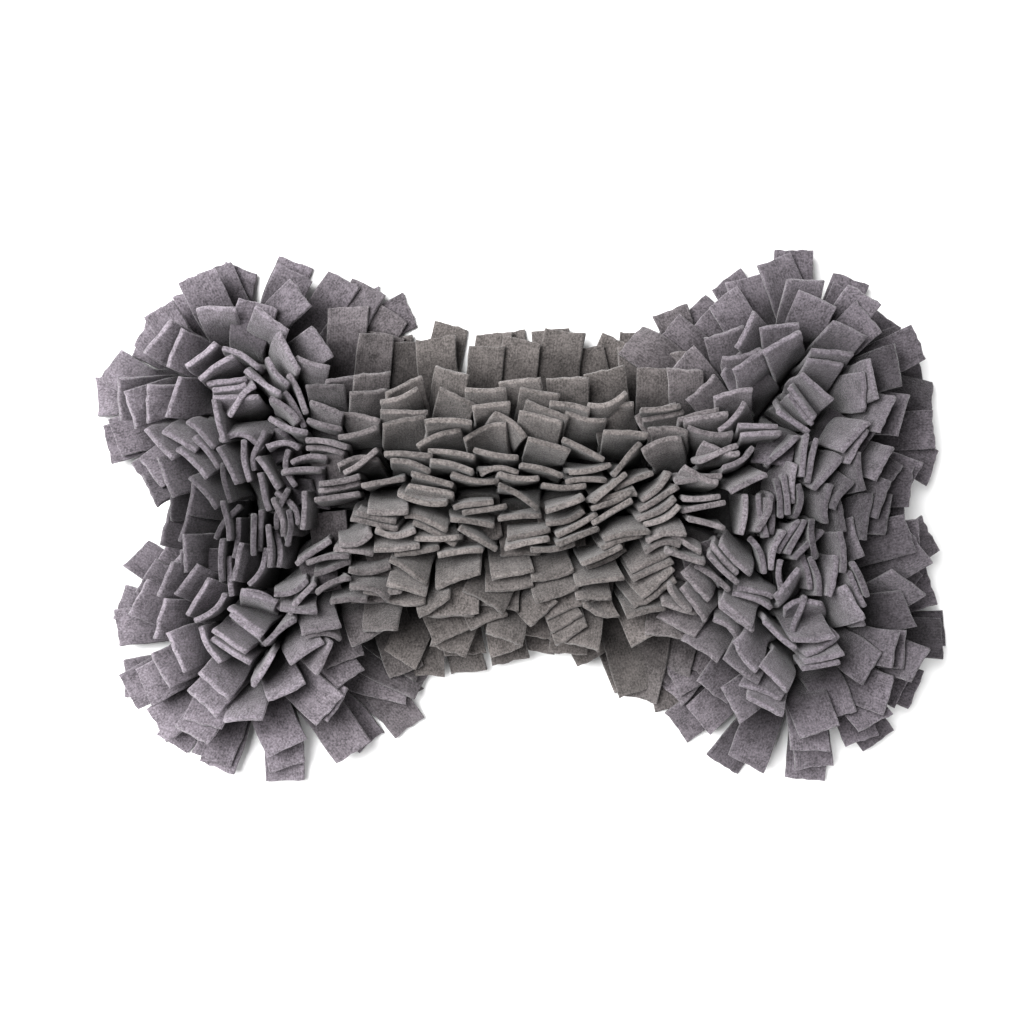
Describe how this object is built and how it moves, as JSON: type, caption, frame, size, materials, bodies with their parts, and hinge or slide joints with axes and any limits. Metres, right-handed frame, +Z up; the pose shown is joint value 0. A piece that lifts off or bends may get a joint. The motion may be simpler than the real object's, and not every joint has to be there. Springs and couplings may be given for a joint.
{
  "type": "snuffle mat",
  "caption": "Bone-shaped foraging mat for a pet: a flat base cloth covered with rows of loose fleece strips that hide dry treats.",
  "frame": {"origin": "middle of the mat's outline, on the surface that it lies on", "axes": "+X to the right along the bone, +Y to the top of the picture, +Z up out of the pile"},
  "size_m": [0.5928, 0.3795, 0.0727],
  "materials": {
    "grey_fleece": "matt brushed fleece",
    "base_felt": "matt felt"
  },
  "bodies": {
    "root": {"base_cloth": "base_felt", "bottom_left_tuft": "grey_fleece", "bottom_right_tuft": "grey_fleece", "middle_bottom_band_01": "grey_fleece", "middle_bottom_band_02": "grey_fleece", "middle_bottom_band_03": "grey_fleece", "middle_left_band_01": "grey_fleece", "middle_right_band_01": "grey_fleece", "middle_top_band_01": "grey_fleece", "middle_top_band_02": "grey_fleece", "middle_top_band_03": "grey_fleece", "rim_band_01": "grey_fleece", "rim_band_02": "grey_fleece", "rim_band_03": "grey_fleece", "rim_band_04": "grey_fleece", "rim_band_05": "grey_fleece", "rim_band_06": "grey_fleece", "rim_band_07": "grey_fleece", "rim_band_08": "grey_fleece", "rim_band_09": "grey_fleece", "rim_band_10": "grey_fleece", "rim_band_11": "grey_fleece", "rim_band_12": "grey_fleece", "rim_band_13": "grey_fleece", "rim_band_14": "grey_fleece", "rim_band_15": "grey_fleece", "rim_band_16": "grey_fleece", "second_band_01": "grey_fleece", "second_band_02": "grey_fleece", "second_band_03": "grey_fleece", "second_band_04": "grey_fleece", "second_band_05": "grey_fleece", "second_band_06": "grey_fleece", "second_band_07": "grey_fleece", "second_band_08": "grey_fleece", "second_band_09": "grey_fleece", "second_band_10": "grey_fleece", "second_band_11": "grey_fleece", "second_band_12": "grey_fleece", "second_band_13": "grey_fleece", "second_band_14": "grey_fleece", "second_band_15": "grey_fleece", "third_bottom_band_01": "grey_fleece", "third_bottom_band_02": "grey_fleece", "third_bottom_band_03": "grey_fleece", "third_bottom_band_04": "grey_fleece", "third_left_band_01": "grey_fleece", "third_right_band_01": "grey_fleece", "third_top_band_01": "grey_fleece", "third_top_band_02": "grey_fleece", "third_top_band_03": "grey_fleece", "third_top_band_04": "grey_fleece", "top_left_tuft": "grey_fleece", "top_right_tuft": "grey_fleece"}
  },
  "joints": []
}
